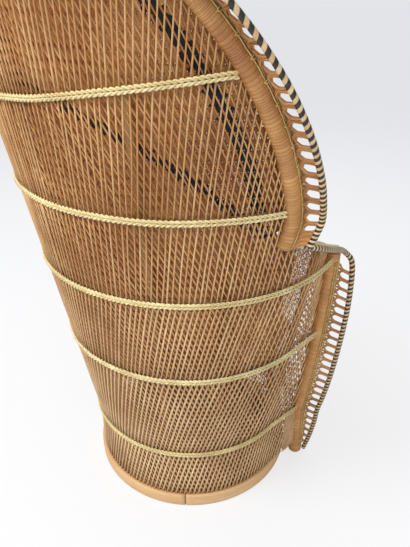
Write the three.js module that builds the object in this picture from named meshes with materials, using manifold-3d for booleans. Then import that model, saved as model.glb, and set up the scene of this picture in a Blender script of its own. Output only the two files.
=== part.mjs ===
import * as THREE from "three";
import { mergeVertices } from "three/addons/utils/BufferGeometryUtils.js";
import Module from "manifold-3d";

const wasm = await Module();
wasm.setup();

// Driving dimensions in millimetres and degrees. The chair faces -Y and stands on z = 0.
// Angles round the body start at the middle of the back (+Y) and grow toward +X.
const GAP = 0.4; // between pieces that touch

const BASE_RADIUS = 270; // outside of the bent hoop the chair stands on
const BASE_HEIGHT = 34;
const BASE_THICK = 13;

const FOOT_TOP = 175; // the body is a plain barrel up to here and a cone above
const FOOT_SLOPE = 0.012;
const CONE_SLOPE = 0.172;

const HOOPS_LOW = [183, 451];
const HOOP_BELOW_ARM = 100; // third hoop, below the rear of the armrest
const HOOPS_IN_FAN = [18, 203]; // above the fan's widest level
const TOP_HOOP_LIFT = 55; // how far the top hoop rises to its ends
const HOOP_POLE = 4; // radius
const TWINE_HEIGHT = 11;
const TWINE_THICK = 4;

const STRAND_WIDTH = 3.4;
const STRAND_THICK = 2.2;
const STRAND_SLANT = 19; // degrees from the upright, one family each way
const SKIN_PITCH = 15; // degrees between strands, in place of the far finer real weave
const LINING_PITCH = 22;
const CORD = 5; // width of the binding cord round a woven panel

const ARM_FOOT_ANGLE = 125; // front edge of the arm, at the floor
const ARM_TOP_ANGLE = 114; // and at the armrest
const ARM_REAR_Z = 764;
const ARM_FALL = 76; // how much lower the armrest is at the front
const ARM_BOW = 1.4; // above 1 the armrest falls faster toward the front
const ARM_REAR_ANGLE = 78;
const ARM_FLARE = 48; // how far the front edge stands out of the round body at the floor
const FLARE_FROM = 95;
const ARM_ROLL = 14; // radius
const ARM_LACE = 57; // roll centre to rim centre
const ARM_LACE_FOOT = 46; // lowest end of the lace, above the floor
const ARM_LACE_HEAD = 48; // its top end, below the armrest

const FAN_WIDE_ANGLE = 79;
const FAN_TOP_Z = 1390;
const FAN_ABOVE_ARM = 11; // lower end of the fan's edge, above the rear of the armrest
const FAN_CURL = 55; // how far the edge runs on below the fan's widest level
const FAN_CURL_TURN = 1.5; // and how many degrees it curls in there
const FAN_ROLL = 16; // radius
const FAN_LACE = 58;
const FAN_LACE_SIDE = 60; // degrees the lace turns out of the skin at the shoulders
const FAN_LACE_TOP = 72; // and at the top
const FAN_STEPS = 44; // straight lengths along the fan's edge

const RIM = 6.5; // radius of the striped rims
const RAIL = 8; // radius of the wrapped armrest poles
const LACE_PITCH = 34;
const LACE_CORD = 3; // half the width of the cord at its root
const STRUT_ROOT = 10;
const STRUT_WAIST = 4.4;
const STRUT_TIP = 7.5;
const TIP_CLEAR = 1.5; // lets the rim lean past the end of a strut

const POST = 9; // radius of the upright poles between the skins
const MIDDLE_POST_REACH = 107; // above the top hoop
const REAR_POST_REACH = 37;
const SIDE_POST_DROP = 29; // below the rear of the armrest
const LINING_MID = 40; // skin to lining over the back
const LINING_FAN_EDGE = 15;
const LINING_ARM_EDGE = 13;
const LINING_BELOW_HOOP = 14; // the lining runs straight up from this far below the third hoop

const SEAT_Z = 400;
const SEAT_INSET = 34; // outside of the base hoop to the centre line of the seat ring
const SEAT_TUBE = 13;
const SEAT_DISH = 6;
const SEAT_PANEL = 5;
const SEAT_BAR = 10;
const FRONT_LEG = 10;
const FRONT_LEG_ANGLE = 150;
const APRON_CORNER = 150; // the front panel is round between these angles

// Sizes that follow from the ones above.
const ARM_FRONT_Z = ARM_REAR_Z - ARM_FALL;
const FAN_END_Z = ARM_REAR_Z + FAN_ABOVE_ARM;
const FAN_WIDE_Z = FAN_END_Z + FAN_CURL;
const PARTING = ARM_REAR_Z - HOOP_BELOW_ARM; // the woven panels part at the third hoop
const HOOP_LEVELS = [...HOOPS_LOW, PARTING, ...HOOPS_IN_FAN.map((rise) => FAN_WIDE_Z + rise)];
const TOP_HOOP = HOOP_LEVELS[HOOP_LEVELS.length - 1];
const SEAT_RADIUS = BASE_RADIUS - SEAT_INSET;
const LINING_BEND = PARTING - LINING_BELOW_HOOP;
const SKIN_FOOT = BASE_RADIUS - BASE_THICK + CORD / 2;
const LAYER = STRAND_THICK / 2 + 1; // each family of strands, off the middle of the skin
const SKIN_HALF = LAYER + STRAND_THICK / 2;
const POLE_SIDES = 5;
const POLE_DEPTH = -(SKIN_HALF + 2.4 * GAP + HOOP_POLE);
const POLE_BACK = HOOP_POLE * (Math.cos(Math.PI / POLE_SIDES) + CONE_SLOPE);
const POST_DEPTH = POLE_DEPTH - POLE_BACK - GAP - POST;
const SKIN_START = BASE_HEIGHT + GAP + CORD / 2;
const LINING_START = SEAT_Z + SEAT_TUBE + GAP + CORD / 2;
const BAR_Z = SEAT_Z - SEAT_TUBE - GAP - SEAT_BAR;
const POST_ANGLES = { rear: 36, side: 63, front: 104 };
const RAIL_STEP = RIM + RAIL + GAP;

const rad = THREE.MathUtils.degToRad;
const deg = THREE.MathUtils.radToDeg;
const { clamp, lerp, smoothstep } = THREE.MathUtils;
const vec = (x, y, z) => new THREE.Vector3(x, y, z);

function skinRadius(z) {
  return SKIN_FOOT + FOOT_SLOPE * Math.min(z, FOOT_TOP) + CONE_SLOPE * Math.max(0, z - FOOT_TOP);
}

function armEdge(z) {
  return lerp(ARM_FOOT_ANGLE, ARM_TOP_ANGLE, z / ARM_FRONT_Z);
}

// How far the skin leaves the cone toward the front edge of an arm.
function flareAt(angle, z) {
  const share = clamp((Math.abs(angle) - FLARE_FROM) / (armEdge(z) - FLARE_FROM), 0, 1);
  return ARM_FLARE * Math.max(0, 1 - (z / ARM_FRONT_Z) ** 2) * share ** 2;
}

// The point at an angle, height and distance outside the middle of the outer skin.
function onSkin(angle, z, out = 0) {
  const radius = skinRadius(z) + flareAt(angle, z) + out;
  return vec(radius * Math.sin(rad(angle)), radius * Math.cos(rad(angle)), z);
}

function railHeight(angle) {
  const share = (Math.abs(angle) - ARM_REAR_ANGLE) / (ARM_TOP_ANGLE - ARM_REAR_ANGLE);
  return lerp(ARM_REAR_Z, ARM_FRONT_Z, clamp(share, 0, 1) ** ARM_BOW);
}

// Half of the fan's edge as [angle, height] stations, from its lower end to the top of the chair.
function fanHalf() {
  const stations = [];
  for (let i = 4; i > 0; i--) {
    const share = i / 4;
    stations.push([FAN_WIDE_ANGLE - FAN_CURL_TURN * share ** 2, FAN_WIDE_Z - FAN_CURL * share]);
  }
  for (let i = 0; i <= 40; i++) {
    const theta = (i / 40) * (Math.PI / 2);
    const angle = FAN_WIDE_ANGLE * Math.max(0, Math.cos(theta)) ** (2 / 1.9);
    const rise = Math.sin(theta) ** (2 / 1.3);
    stations.push([angle, FAN_WIDE_Z + (FAN_TOP_Z - FAN_WIDE_Z) * rise]);
  }
  return stations;
}

const FAN_HALF = fanHalf();

function fanAngle(z) {
  if (z <= FAN_WIDE_Z) return FAN_WIDE_ANGLE;
  for (let i = 1; i < FAN_HALF.length; i++) {
    const [a0, z0] = FAN_HALF[i - 1];
    const [a1, z1] = FAN_HALF[i];
    if (z0 >= FAN_WIDE_Z && z <= z1) return lerp(a0, a1, (z - z0) / (z1 - z0));
  }
  return 0;
}

// The largest angle a hoop reaches: the top one ends higher up, where the fan is narrower.
function hoopEnd(z) {
  const top = z === TOP_HOOP ? z + TOP_HOOP_LIFT : z;
  const roll = z < ARM_FRONT_Z ? ARM_ROLL : FAN_ROLL + 4;
  const edge = z < ARM_FRONT_Z ? armEdge(z) : fanAngle(top);
  return edge - deg((roll + 2 * CORD) / skinRadius(top));
}

// Height of a hoop at an angle. All are level but the top one, which rises from the middle to its ends.
function hoopHeight(z, angle) {
  if (z !== TOP_HOOP) return z;
  return z + TOP_HOOP_LIFT * (Math.abs(angle) / hoopEnd(z)) ** 1.2;
}

// How far the lining lies inside the outer skin: it closes in on the edge rolls.
function liningGap(angle, z) {
  const seatGap = skinRadius(LINING_START) - SEAT_RADIUS - 2;
  const low = clamp((LINING_BEND - z) / (LINING_BEND - LINING_START), 0, 1);
  const mid = LINING_MID + (seatGap - LINING_MID) * low;
  const arm = Math.min(1, Math.abs(angle) / armEdge(z)) ** 16;
  const lower = LINING_ARM_EDGE + (mid - LINING_ARM_EDGE) * (1 - arm);
  if (z <= LINING_BEND) return lower;
  const nearEdge = Math.min(1, Math.abs(angle) / Math.max(fanAngle(z), 1)) ** 6;
  const side = nearEdge * smoothstep(z, LINING_BEND + 10, FAN_WIDE_Z - 10);
  const rise = clamp((z - ARM_REAR_Z) / (FAN_TOP_Z - ARM_REAR_Z), 0, 1) ** 6;
  const upper = LINING_FAN_EDGE + (LINING_MID - LINING_FAN_EDGE) * (1 - side) * (1 - rise);
  return Math.abs(angle) > FAN_WIDE_ANGLE ? lower : upper;
}

function onLining(angle, z, out = 0) {
  return onSkin(angle, z, out - liningGap(angle, z));
}

// The front panel below the seat, round in the middle and drawn out to the arm edges.
function onApron(angle, z, out = 0) {
  const turn = Math.abs(angle);
  const edge = armEdge(z);
  const share = clamp((APRON_CORNER - turn) / (APRON_CORNER - edge), 0, 1);
  const corner = skinRadius(z) + flareAt(edge, z);
  const radius = lerp(SKIN_FOOT, corner, share ** 2) + out;
  return vec(radius * Math.sin(rad(angle)), radius * Math.cos(rad(angle)), z);
}

const outward = (p) => vec(p.x, p.y, 0).normalize();

function geometryOf(points, faces) {
  const geometry = new THREE.BufferGeometry().setFromPoints(points);
  return geometry.setIndex(faces);
}

// Sweeps a section of [outward, sideways] points along a path. Ends are capped unless the path closes.
function sweep(path, sections, { closed = false, normals = path.map(outward) } = {}) {
  const count = path.length;
  const sides = (Array.isArray(sections[0][0]) ? sections[0] : sections).length;
  const points = [];
  path.forEach((p, i) => {
    const before = path[closed ? (i + count - 1) % count : Math.max(0, i - 1)];
    const after = path[closed ? (i + 1) % count : Math.min(count - 1, i + 1)];
    const along = after.clone().sub(before).normalize();
    const up = normals[i].clone().addScaledVector(along, -normals[i].dot(along)).normalize();
    const across = along.clone().cross(up);
    const section = Array.isArray(sections[0][0]) ? sections[i] : sections;
    for (const [u, v] of section) {
      points.push(p.clone().addScaledVector(up, u).addScaledVector(across, v));
    }
  });
  const faces = [];
  const spans = closed ? count : count - 1;
  for (let i = 0; i < spans; i++) {
    const a = i * sides;
    const b = ((i + 1) % count) * sides;
    for (let k = 0; k < sides; k++) {
      const m = (k + 1) % sides;
      faces.push(a + k, a + m, b + m, a + k, b + m, b + k);
    }
  }
  if (!closed) {
    const last = (count - 1) * sides;
    for (let k = 1; k < sides - 1; k++) {
      faces.push(0, k + 1, k);
      faces.push(last, last + k, last + k + 1);
    }
  }
  return geometryOf(points, faces);
}

function round(radius, sides) {
  return Array.from({ length: sides }, (_, k) => {
    const turn = (k / sides) * 2 * Math.PI;
    return [radius * Math.cos(turn), radius * Math.sin(turn)];
  });
}

function box(thick, wide) {
  const u = thick / 2;
  const v = wide / 2;
  return [[u, v], [-u, v], [-u, -v], [u, -v]];
}

function solidOf(geometry) {
  const merged = mergeVertices(geometry, 1e-3);
  const vertProperties = new Float32Array(merged.attributes.position.array);
  const triVerts = new Uint32Array(merged.index.array);
  return new wasm.Manifold(new wasm.Mesh({ numProp: 3, vertProperties, triVerts }));
}

function union(geometries) {
  const mesh = wasm.Manifold.union(geometries.map(solidOf)).getMesh();
  const geometry = new THREE.BufferGeometry();
  geometry.setAttribute("position", new THREE.BufferAttribute(mesh.vertProperties, 3));
  return geometry.setIndex(new THREE.BufferAttribute(mesh.triVerts, 1));
}

// Degrees a strand moves round the body from the floor to a height, at its steady slant.
function drift(z) {
  const lean = Math.tan(rad(STRAND_SLANT));
  const foot = Math.log(skinRadius(Math.min(z, FOOT_TOP)) / skinRadius(0)) / FOOT_SLOPE;
  const cone = z > FOOT_TOP ? Math.log(skinRadius(z) / skinRadius(FOOT_TOP)) / CONE_SLOPE : 0;
  return deg(lean * (foot + cone));
}

function inside(outline, angle, z) {
  let within = false;
  for (let i = 0, j = outline.length - 1; i < outline.length; j = i++) {
    const [ai, zi] = outline[i];
    const [aj, zj] = outline[j];
    if (zi > z !== zj > z && angle < ((aj - ai) * (z - zi)) / (zj - zi) + ai) within = !within;
  }
  return within;
}

// The stretches of one slanting line that lie inside an outline, as [low, high] heights.
function runsInside(outline, angleAt, low, high) {
  const edgeBetween = (z0, z1) => {
    const first = inside(outline, angleAt(z0), z0);
    for (let i = 0; i < 14; i++) {
      const mid = (z0 + z1) / 2;
      if (inside(outline, angleAt(mid), mid) === first) z0 = mid;
      else z1 = mid;
    }
    return (z0 + z1) / 2;
  };
  const runs = [];
  let start = null;
  for (let z = low - 3; z < high + 6; z += 3) {
    const now = inside(outline, angleAt(z), z);
    const next = inside(outline, angleAt(z + 3), z + 3);
    if (!now && next) start = edgeBetween(z, z + 3);
    if (now && !next && start !== null) {
      runs.push([start, edgeBetween(z, z + 3)]);
      start = null;
    }
  }
  return runs;
}

// A panel of open weave: a binding cord round its outline and two crossing families of strands,
// one outside the middle of the surface and one inside. The cord holds each strand by its root.
function weave(surface, outline, pitch, shift = 0) {
  const loop = outline.map(([a, z]) => surface(a, z));
  const cord = sweep(loop, box(2 * SKIN_HALF + 0.4, CORD), { closed: true });
  const heights = outline.map(([, z]) => z);
  const low = Math.min(...heights);
  const high = Math.max(...heights);
  const pieces = [cord];
  for (const lean of [1, -1]) {
    for (let foot = -200; foot <= 380; foot += pitch) {
      const angleAt = (z) => foot + shift + lean * drift(z);
      for (const [z0, z1] of runsInside(outline, angleAt, low, high)) {
        if (z1 - z0 < 32) continue;
        const levels = HOOP_LEVELS.map((z) => hoopHeight(z, angleAt(hoopHeight(z, angleAt(z)))));
        const stops = levels.filter((z) => z > z0 + 20 && z < z1 - 20);
        const path = [z0, ...stops, z1 - 1.5 * CORD].map((z) => surface(angleAt(z), z, -lean * LAYER));
        pieces.push(sweep(path, box(STRAND_THICK, STRAND_WIDTH)));
      }
    }
  }
  return union(pieces);
}

const chair = new THREE.Group();

function add(name, geometry, color, roughness) {
  const flat = geometry.toNonIndexed();
  flat.computeVertexNormals();
  const material = new THREE.MeshStandardMaterial({ color, roughness, metalness: 0 });
  const mesh = new THREE.Mesh(flat, material);
  mesh.name = name;
  chair.add(mesh);
}

const CANE = 0xc39a66;
const PEEL = 0xc4935a;
const LINING = 0x8a5530;
const STRAW = 0xe0cd94;
const BENT_WOOD = 0xdcb57c;
const STRIPED = 0x5a4128;
const SIDES = [["right", -1], ["left", 1]];
const steps = (from, to, count) => Array.from({ length: count + 1 }, (_, i) => lerp(from, to, i / count));

// Stations along the fan's edge at even spacing, from the right shoulder over the top to the left.
const fanLine = [...FAN_HALF.map(([a, z]) => [-a, z]), ...FAN_HALF.slice(0, -1).reverse()];
const fanCurve = new THREE.CatmullRomCurve3(fanLine.map(([a, z]) => onSkin(a, z)));
fanCurve.arcLengthDivisions = 400;

function fanStations(count) {
  const path = fanCurve.getSpacedPoints(count);
  return path.map((p, i) => {
    const along = path[Math.min(count, i + 1)].clone().sub(path[Math.max(0, i - 1)]).normalize();
    const skinOut = outward(p);
    const edgeOut = along.clone().cross(skinOut).normalize();
    const share = clamp((p.z - FAN_WIDE_Z) / (FAN_TOP_Z - FAN_WIDE_Z), 0, 1);
    const turn = rad(lerp(FAN_LACE_SIDE, FAN_LACE_TOP, share));
    const lace = edgeOut.clone().multiplyScalar(Math.cos(turn)).addScaledVector(skinOut, Math.sin(turn));
    return { p, edgeOut, lace };
  });
}

// The lace narrows a little where it meets the arms.
function fanLaceWidth(p) {
  return FAN_LACE * lerp(0.9, 1, smoothstep(p.z, FAN_END_Z - 20, FAN_WIDE_Z + 90));
}

// Base and frame

const baseProfile = [
  [BASE_RADIUS - BASE_THICK, 0],
  [BASE_RADIUS, 0],
  [BASE_RADIUS, BASE_HEIGHT],
  [BASE_RADIUS - BASE_THICK, BASE_HEIGHT],
];

// A ring turned about the upright axis from a closed [radius, height] profile.
function ring(profile, count) {
  const mean = (values) => values.reduce((sum, value) => sum + value, 0) / values.length;
  const middle = [mean(profile.map(([r]) => r)), mean(profile.map(([, z]) => z))];
  const path = steps(0, 360, count).slice(0, -1).map((a) => vec(Math.sin(rad(a)), Math.cos(rad(a)), 0));
  const section = profile.map(([r, z]) => [r - middle[0], z - middle[1]]);
  const centre = path.map((d) => d.clone().multiplyScalar(middle[0]).setZ(middle[1]));
  return sweep(centre, section, { closed: true });
}

add("base_hoop", ring(baseProfile, 44), BENT_WOOD, 0.55);

function post(angle, top) {
  const heights = [1, FOOT_TOP, ...HOOP_LEVELS.slice(1).filter((z) => z < top - 30), top];
  return sweep(heights.map((z) => onSkin(angle, z, POST_DEPTH)), round(POST, 8));
}

add("back_post_middle", post(0, TOP_HOOP + MIDDLE_POST_REACH), CANE, 0.6);
for (const [side, sign] of SIDES) {
  add(`back_post_${side}`, post(sign * POST_ANGLES.rear, TOP_HOOP + REAR_POST_REACH), CANE, 0.6);
  add(`side_post_${side}`, post(sign * POST_ANGLES.side, ARM_REAR_Z - SIDE_POST_DROP), CANE, 0.6);
  const top = railHeight(POST_ANGLES.front) - 2 * POST;
  add(`arm_post_${side}`, post(sign * POST_ANGLES.front, top), CANE, 0.6);
}

// Angles along a hoop, with one at each post so that the two meet there.
function betweenPosts(end) {
  const posts = Object.values(POST_ANGLES).filter((a) => a < end - 5);
  const half = [0, ...posts, end];
  const right = half.slice(1).flatMap((a, i) => steps(half[i], a, Math.ceil((a - half[i]) / 11)).slice(1));
  return [...right.map((a) => -a).reverse(), 0, ...right];
}

HOOP_LEVELS.forEach((z, i) => {
  const angles = betweenPosts(hoopEnd(z));
  const line = (out) => angles.map((a) => onSkin(a, hoopHeight(z, a), out));
  const pole = sweep(line(POLE_DEPTH), round(HOOP_POLE, POLE_SIDES));
  add(`hoop_pole_${i + 1}`, pole, CANE, 0.6);
  const out = SKIN_HALF + 2.8 + TWINE_THICK / 2;
  const twine = sweep(line(out), box(TWINE_THICK, TWINE_HEIGHT));
  add(`twined_band_${i + 1}`, twine, STRAW, 0.7);
});

// Seat

function tubeRing(radius, z, tube, count, sides) {
  return ring(round(tube, sides).map(([r, h]) => [radius + r, z + h]), count);
}

add("seat_ring", tubeRing(SEAT_RADIUS, SEAT_Z, SEAT_TUBE, 36, 8), PEEL, 0.5);

const panelRadius = SEAT_RADIUS - SEAT_TUBE - GAP;
const panelProfile = [
  [0, SEAT_Z - SEAT_DISH - SEAT_PANEL],
  [panelRadius * 0.6, SEAT_Z - SEAT_DISH * 0.7 - SEAT_PANEL],
  [panelRadius, SEAT_Z - SEAT_PANEL / 2],
  [panelRadius, SEAT_Z + SEAT_PANEL / 2],
  [panelRadius * 0.6, SEAT_Z - SEAT_DISH * 0.7],
  [0, SEAT_Z - SEAT_DISH],
].map(([r, z]) => new THREE.Vector2(r, z));
add("seat_panel", new THREE.LatheGeometry(panelProfile, 36).rotateX(Math.PI / 2), PEEL, 0.6);

for (const [name, angle] of [["rear", POST_ANGLES.side], ["front", POST_ANGLES.front]]) {
  const joint = onSkin(angle, BAR_Z, POST_DEPTH);
  const reach = joint.x - POST - GAP - CONE_SLOPE * SEAT_BAR;
  const ends = [vec(-reach, joint.y, BAR_Z), vec(reach, joint.y, BAR_Z)];
  const normals = ends.map(() => vec(0, 0, 1));
  add(`seat_bar_${name}`, sweep(ends, round(SEAT_BAR, 8), { normals }), CANE, 0.6);
}

for (const [side, sign] of SIDES) {
  const turn = rad(sign * FRONT_LEG_ANGLE);
  const foot = vec(SEAT_RADIUS * Math.sin(turn), SEAT_RADIUS * Math.cos(turn), 0);
  const top = foot.clone().setZ(SEAT_Z - SEAT_TUBE - GAP);
  add(`front_leg_${side}`, sweep([foot, top], round(FRONT_LEG, 8)), CANE, 0.6);
}

// Woven panels

const armHeights = steps(SKIN_START, ARM_FRONT_Z - RAIL, 9);
const railAngles = steps(ARM_TOP_ANGLE, ARM_REAR_ANGLE, 6);
const mirrored = (half) => [...half, ...half.filter(([a]) => a !== 0).map(([a, z]) => [-a, z]).reverse()];

// Half outline of a lower panel: up the arm's front edge, back under the armrest, down to the back's level.
function lowerHalf(start, level) {
  const inset = (z) => deg((ARM_ROLL + GAP + 1 + CORD / 2) / (skinRadius(z) + 20));
  const under = RAIL + GAP + 1 + CORD / 2;
  const front = armHeights.map((z) => Math.max(z, start)).filter((z, i, all) => i === 0 || z > all[i - 1]);
  const topEdge = railHeight(ARM_TOP_ANGLE) - under;
  const up = front.filter((z) => z < topEdge - 20).map((z) => [armEdge(z) - inset(z), z]);
  const back = railAngles.map((a, i) => {
    const angle = i === 0 ? armEdge(topEdge) - inset(topEdge) - 0.08 : a;
    return [angle, railHeight(angle) - under];
  });
  const low = [ARM_REAR_ANGLE, level];
  const across = steps(ARM_REAR_ANGLE, 0, 9).slice(1).map((a) => [a, level]);
  const bottom = steps(0, armEdge(start) - inset(start), 14).slice(0, -1).map((a) => [a, start]);
  return [...bottom, ...up, ...back, low, ...across];
}

// The panels part at the third hoop: the outer ones leave room for its pole, the lining's cords lie together.
const skinPart = HOOP_POLE + GAP + CORD / 2;
const liningPart = (CORD + GAP) / 2;
const skinLower = mirrored(lowerHalf(SKIN_START, PARTING - skinPart));
const liningLower = mirrored(lowerHalf(LINING_START, PARTING - liningPart));
add("outer_weave_lower", weave(onSkin, skinLower, SKIN_PITCH), CANE, 0.65);
add("lining_lower", weave(onLining, liningLower, LINING_PITCH), LINING, 0.65);

// Outline of a fan panel: along the level the lower one stops at, and round inside the edge roll.
function fanOutline(level) {
  const inset = FAN_ROLL + GAP + 0.2 + CORD / 2;
  const round = fanStations(FAN_STEPS).map(({ p, edgeOut }) => {
    const moved = p.clone().addScaledVector(edgeOut, -inset);
    return [deg(Math.atan2(moved.x, moved.y)), moved.z];
  });
  const [first] = round;
  const down = steps(first[1], level, 2).slice(1).map((z) => [-first[0], z]);
  const bottom = steps(-first[0], first[0], 18).slice(1, -1).map((a) => [a, level]);
  const up = down.map(([a, z]) => [-a, z]).reverse();
  return [...round, ...down, ...bottom, ...up];
}

add("outer_weave_fan", weave(onSkin, fanOutline(PARTING + skinPart), SKIN_PITCH), CANE, 0.65);
add("lining_fan", weave(onLining, fanOutline(PARTING + liningPart), LINING_PITCH), LINING, 0.65);

const apronTop = SEAT_Z - SEAT_TUBE - 4;
const apronHeights = steps(SKIN_START, apronTop, 5);
const apronInset = (z) => deg((ARM_ROLL + GAP + 0.8 + CORD / 2) / (skinRadius(z) - 20));
const apronHalf = [
  ...steps(180, armEdge(SKIN_START) + apronInset(SKIN_START), 6).slice(1, -1).map((a) => [a, SKIN_START]),
  ...apronHeights.map((z) => [armEdge(z) + apronInset(z), z]),
  ...steps(armEdge(apronTop) + apronInset(apronTop), 180, 6).slice(1, -1).map((a) => [a, apronTop]),
];
const apronOutline = [...apronHalf, ...apronHalf.map(([a, z]) => [360 - a, z]).reverse()];
add("front_apron", weave(onApron, apronOutline, SKIN_PITCH), CANE, 0.65);

// Rolls, lace borders and striped rims

const fanPath = fanStations(FAN_STEPS);
add("fan_roll", sweep(fanPath.map(({ p }) => p), round(FAN_ROLL, 8)), PEEL, 0.45);

// A lace border: a flat cord along the roll with struts growing out of its outer side. A strut is wide at
// its root, narrow in the middle and spread again at the rim, so that the openings between them are oval.
function laceBorder(stations, rollRadius, widthAt) {
  const length = new THREE.CatmullRomCurve3(stations.map(({ p }) => p)).getLength();
  const count = Math.round(length / LACE_PITCH);
  const inner = rollRadius + 2 * GAP;
  const points = [];
  const faces = [];
  const quad = (a, b, c, d) => faces.push(a, b, c, a, c, d);
  const at = (share) => {
    const place = clamp(share, 0, 1) * (stations.length - 1);
    const j = Math.min(Math.floor(place), stations.length - 2);
    const blend = (key) => stations[j][key].clone().lerp(stations[j + 1][key], place - j);
    const along = stations[j + 1].p.clone().sub(stations[j].p).normalize();
    const lace = blend("lace");
    lace.addScaledVector(along, -lace.dot(along)).normalize();
    return { p: blend("p"), lace, along, face: lace.clone().cross(along) };
  };
  const corner = ({ p, lace, along, face }, reach, side, thick) => {
    const moved = p.clone().addScaledVector(lace, reach).addScaledVector(along, side);
    points.push(moved.addScaledVector(face, thick / 2));
    return points.length - 1;
  };
  // The cord's four corners at one place: inner back, inner front, outer front, outer back.
  const section = (share) => {
    const place = at(share);
    const outer = inner + 2 * LACE_CORD;
    return [[inner, -1], [inner, 1], [outer, 1], [outer, -1]].map(([reach, side]) =>
      corner(place, reach, 0, side * 2 * LACE_CORD * 0.75));
  };
  const half = STRUT_ROOT / 2 / length;
  const cuts = [0];
  for (let i = 0; i < count; i++) cuts.push((i + 0.5) / count - half, (i + 0.5) / count + half);
  cuts.push(1);
  const rings = cuts.map(section);
  quad(...rings[0].slice().reverse());
  quad(...rings[rings.length - 1]);
  for (let i = 0; i + 1 < rings.length; i++) {
    const a = rings[i];
    const b = rings[i + 1];
    const strut = i % 2 === 1;
    for (let k = 0; k < 4; k++) {
      const m = (k + 1) % 4;
      if (!(strut && k === 2)) quad(a[k], a[m], b[m], b[k]);
    }
    if (!strut) continue;
    const place = at((cuts[i] + cuts[i + 1]) / 2);
    const tip = widthAt(place.p) - RIM - GAP - TIP_CLEAR;
    const waist = (inner + 2 * LACE_CORD + tip) / 2;
    let root = [a[2], a[3], b[3], b[2]];
    for (const [reach, wide] of [[waist, STRUT_WAIST], [tip, STRUT_TIP]]) {
      const next = [[-1, 1], [-1, -1], [1, -1], [1, 1]].map(([u, v]) =>
        corner(place, reach, (u * wide) / 2, v * STRUT_WAIST * 0.8));
      for (let k = 0; k < 4; k++) quad(root[k], root[(k + 1) % 4], next[(k + 1) % 4], next[k]);
      root = next;
    }
    quad(...root);
  }
  return geometryOf(points, faces);
}

add("fan_lace", laceBorder(fanPath, FAN_ROLL, fanLaceWidth), CANE, 0.6);
const fanRimPath = fanPath.map(({ p, lace }) => p.clone().addScaledVector(lace, fanLaceWidth(p)));
const rimNormals = fanPath.map(({ lace }) => lace);
add("fan_rim", sweep(fanRimPath, round(RIM, 6), { normals: rimNormals }), STRIPED, 0.45);

function armLaceWidth(z) {
  const middle = ARM_FRONT_Z * 0.57;
  return ARM_LACE * (1 - 0.6 * (Math.abs(z - middle) / middle) ** 3);
}

for (const [side, sign] of SIDES) {
  const edgePoint = (z, out = 0) => onSkin(sign * armEdge(z), z, out);
  const rollTop = ARM_FRONT_Z - RAIL + 1.8; // close under the slanting ends of the rails
  const rollHeights = [2, ...armHeights.filter((z) => z > 60 && z < rollTop - 20), rollTop];
  add(`arm_roll_${side}`, sweep(rollHeights.map((z) => edgePoint(z)), round(ARM_ROLL, 8)), PEEL, 0.45);

  const laceHeights = steps(ARM_LACE_FOOT, ARM_FRONT_Z - ARM_LACE_HEAD, 14);
  const laceStations = laceHeights.map((z) => ({ p: edgePoint(z), lace: outward(edgePoint(z)) }));
  const lace = laceBorder(laceStations, ARM_ROLL, (p) => armLaceWidth(p.z));
  add(`arm_lace_${side}`, lace, CANE, 0.6);

  const rail = (out) => railAngles.map((a) => onSkin(sign * a, railHeight(a), out));
  const outerRim = RAIL_STEP + RAIL_STEP / 2;
  const front = [RIM + 1.5, ...laceHeights].map((z) => edgePoint(z, armLaceWidth(z)));
  const corner = [
    onSkin(sign * (ARM_TOP_ANGLE + 0.5), ARM_FRONT_Z - 22, armLaceWidth(ARM_FRONT_Z - 22) - 3),
    onSkin(sign * (ARM_TOP_ANGLE - 1), ARM_FRONT_Z - 4, outerRim + 8),
  ];
  const rimPath = [...front, ...corner, ...rail(outerRim).slice(1)];
  add(`arm_rim_${side}`, sweep(rimPath, round(RIM, 6)), STRIPED, 0.45);
  add(`arm_rail_outer_${side}`, sweep(rail(RAIL_STEP / 2), round(RAIL, 6)), STRAW, 0.5);
  add(`arm_inner_rim_${side}`, sweep(rail(-RAIL_STEP / 2), round(RIM, 6)), STRIPED, 0.45);
  add(`arm_rail_inner_${side}`, sweep(rail(-RAIL_STEP * 1.5), round(RAIL, 6)), STRAW, 0.5);
}

// The frame's origin is the middle of the bounding box at the floor, a little behind the body's axis.
const bounds = new THREE.Box3().setFromObject(chair);
const middle = bounds.getCenter(new THREE.Vector3());
chair.position.set(-middle.x, -middle.y, -bounds.min.z);

const part = new THREE.Group();
part.add(chair);

export default part;
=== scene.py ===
# %% [markdown]
# # A peacock chair, woven strand by strand
# The real chair is a cage of cane poles and hoops with two skins of weave. Each step lays fine weave where a
# plain solid of the frame is, hides that solid, and prints how many solids it stands for. A picture of weave
# would be quicker, but strands stay true from close by.

# %% Load the frame
import math

import bpy
import numpy as np
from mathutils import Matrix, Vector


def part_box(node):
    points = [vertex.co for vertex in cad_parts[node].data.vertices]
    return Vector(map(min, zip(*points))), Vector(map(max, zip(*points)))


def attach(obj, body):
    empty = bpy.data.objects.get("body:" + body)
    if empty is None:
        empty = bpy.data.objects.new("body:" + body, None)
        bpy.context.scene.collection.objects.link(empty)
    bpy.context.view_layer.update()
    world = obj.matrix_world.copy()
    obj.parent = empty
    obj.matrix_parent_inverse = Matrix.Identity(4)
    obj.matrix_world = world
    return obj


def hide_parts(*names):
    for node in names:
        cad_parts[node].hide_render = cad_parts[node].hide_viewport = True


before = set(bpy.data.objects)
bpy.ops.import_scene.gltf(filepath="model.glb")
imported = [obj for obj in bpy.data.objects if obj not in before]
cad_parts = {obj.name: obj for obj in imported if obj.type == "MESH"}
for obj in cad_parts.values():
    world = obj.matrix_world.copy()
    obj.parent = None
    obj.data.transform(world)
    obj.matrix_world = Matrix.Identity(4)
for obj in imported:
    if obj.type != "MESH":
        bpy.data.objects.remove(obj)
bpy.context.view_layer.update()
rng = np.random.default_rng(7)
base_low, base_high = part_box("base_hoop")
AXIS_Y = (base_low.y + base_high.y) / 2
SIDES = (("right", -1), ("left", 1))
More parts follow.
